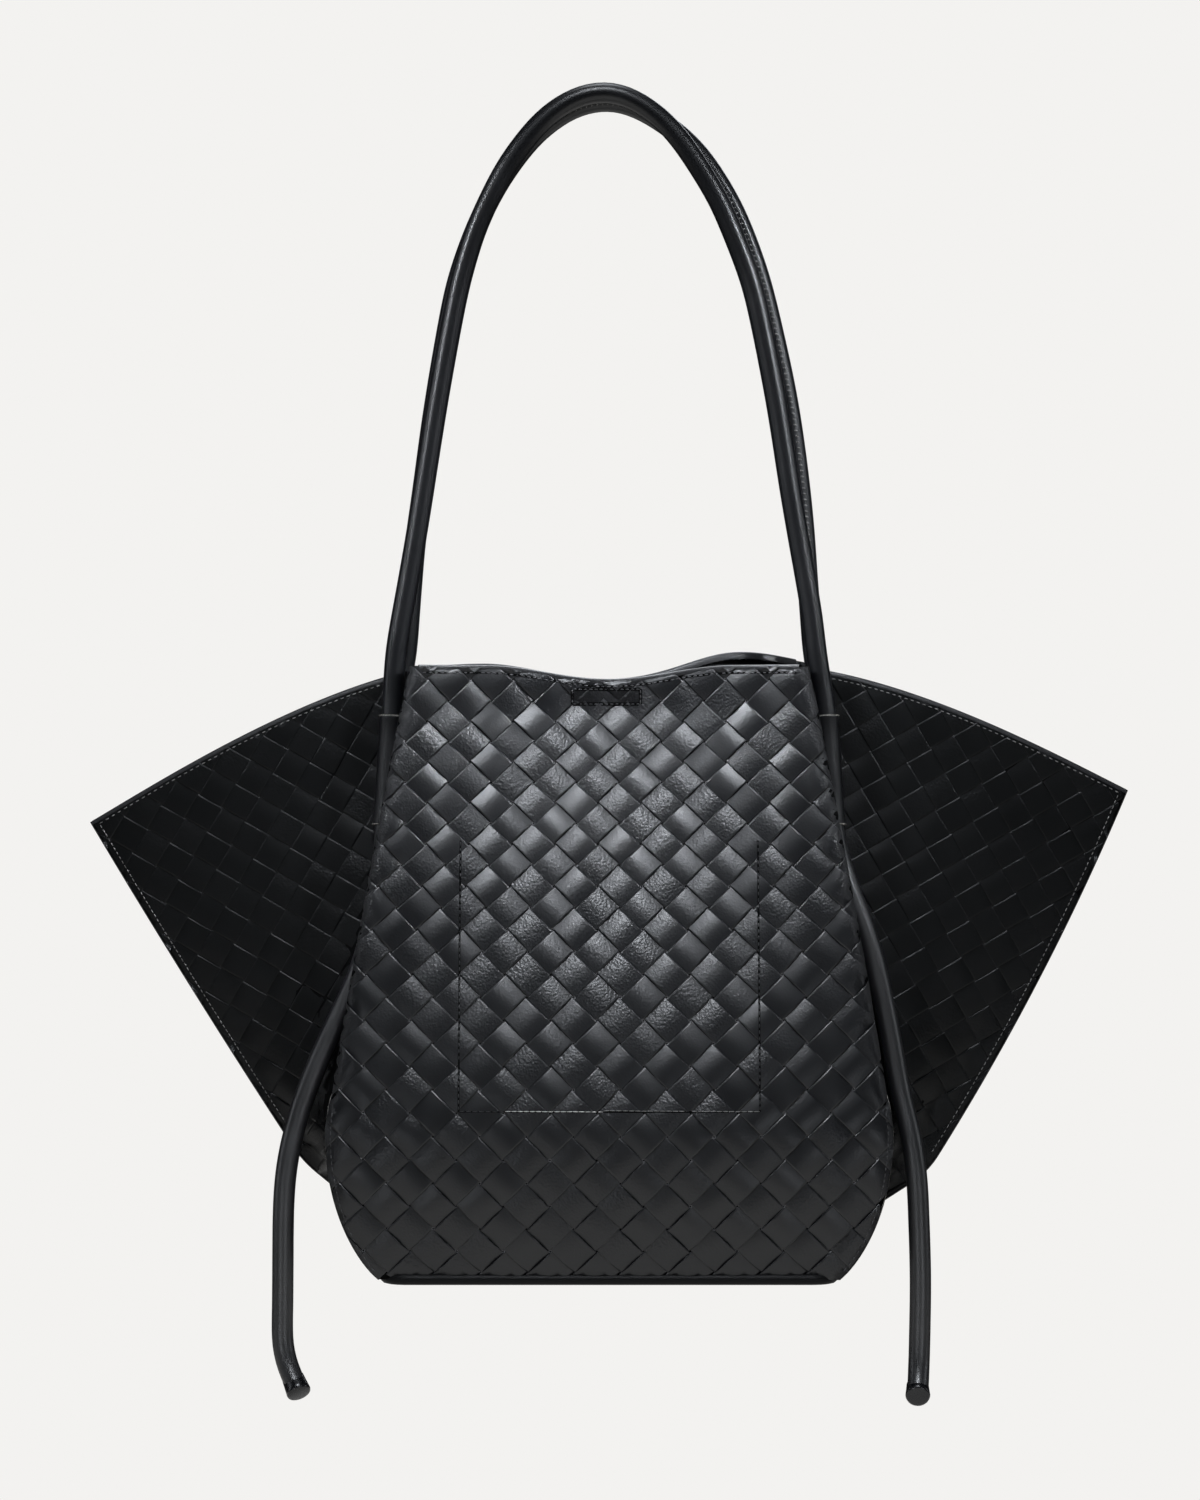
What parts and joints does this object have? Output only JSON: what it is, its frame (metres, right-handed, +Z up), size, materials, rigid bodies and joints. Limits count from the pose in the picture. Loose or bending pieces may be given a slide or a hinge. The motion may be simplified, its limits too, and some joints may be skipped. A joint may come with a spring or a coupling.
{
  "type": "woven tote bag",
  "caption": "Soft leather tote of broad diagonal weave with wing-like side gussets, tall rolled straps through side sleeves, and free-hanging cord tails.",
  "frame": {"origin": "the point under the arches of the two straps where a hook, peg or shoulder holds the hanging bag", "axes": "+Z up, -Y towards the front panel with the cord tails, +X to the right of someone facing the front"},
  "size_m": [0.5388, 0.1196, 0.6769],
  "materials": {
    "leather_body": "soft matte black nappa, woven in broad strips",
    "leather_trim": "plain black leather",
    "leather_cord": "rolled black leather with a sewn seam, soft gloss",
    "pocket_lining": "dark brushed cotton",
    "base_board": "fibre stiffener",
    "magnet_steel": "nickel-plated bar magnet"
  },
  "bodies": {
    "bag": {"base_panel": "leather_body", "base_board": "base_board", "left_wing_front": "leather_body", "left_wing_back": "leather_body", "right_wing_front": "leather_body", "right_wing_back": "leather_body"},
    "front": {"front_panel": "leather_body", "front_facing": "leather_trim", "front_magnet": "magnet_steel", "inner_pocket": "pocket_lining", "front_left_sleeve": "leather_trim", "front_right_sleeve": "leather_trim", "front_left_cord_core": "leather_cord", "front_right_cord_core": "leather_cord"},
    "back": {"back_panel": "leather_body", "back_facing": "leather_trim", "back_magnet": "magnet_steel", "back_left_sleeve": "leather_trim", "back_right_sleeve": "leather_trim", "back_left_cord_core": "leather_cord", "back_right_cord_core": "leather_cord"},
    "front_handle": {"front_strap": "leather_cord"},
    "back_handle": {"back_strap": "leather_cord"},
    "left_cord": {"left_tail": "leather_cord", "left_tail_cap": "leather_trim"},
    "right_cord": {"right_tail": "leather_cord", "right_tail_cap": "leather_trim"}
  },
  "joints": [
    {"name": "front_opens", "type": "hinge", "parent": "bag", "child": "front", "pos_m": [0, -0.0441, -0.6051], "axis": [1, 0, 0], "range_deg": [0, 10]},
    {"name": "back_opens", "type": "hinge", "parent": "bag", "child": "back", "pos_m": [0, 0.0441, -0.6051], "axis": [-1, 0, 0], "range_deg": [0, 10]},
    {"name": "front_strap_falls", "type": "hinge", "parent": "front", "child": "front_handle", "pos_m": [0, -0.0105, -0.2856], "axis": [1, 0, 0], "range_deg": [0, 90]},
    {"name": "back_strap_falls", "type": "hinge", "parent": "back", "child": "back_handle", "pos_m": [0, 0.0105, -0.2856], "axis": [-1, 0, 0], "range_deg": [0, 90]},
    {"name": "left_tail_swings", "type": "hinge", "parent": "front", "child": "left_cord", "pos_m": [-0.1158, -0.0167, -0.3789], "axis": [0, 1, 0], "range_deg": [0, 60]},
    {"name": "right_tail_swings", "type": "hinge", "parent": "front", "child": "right_cord", "pos_m": [0.1158, -0.0167, -0.3789], "axis": [0, -1, 0], "range_deg": [0, 60]}
  ],
  "couplings": [
    {"joint": "back_opens", "follows": "front_opens", "ratio": 1}
  ]
}
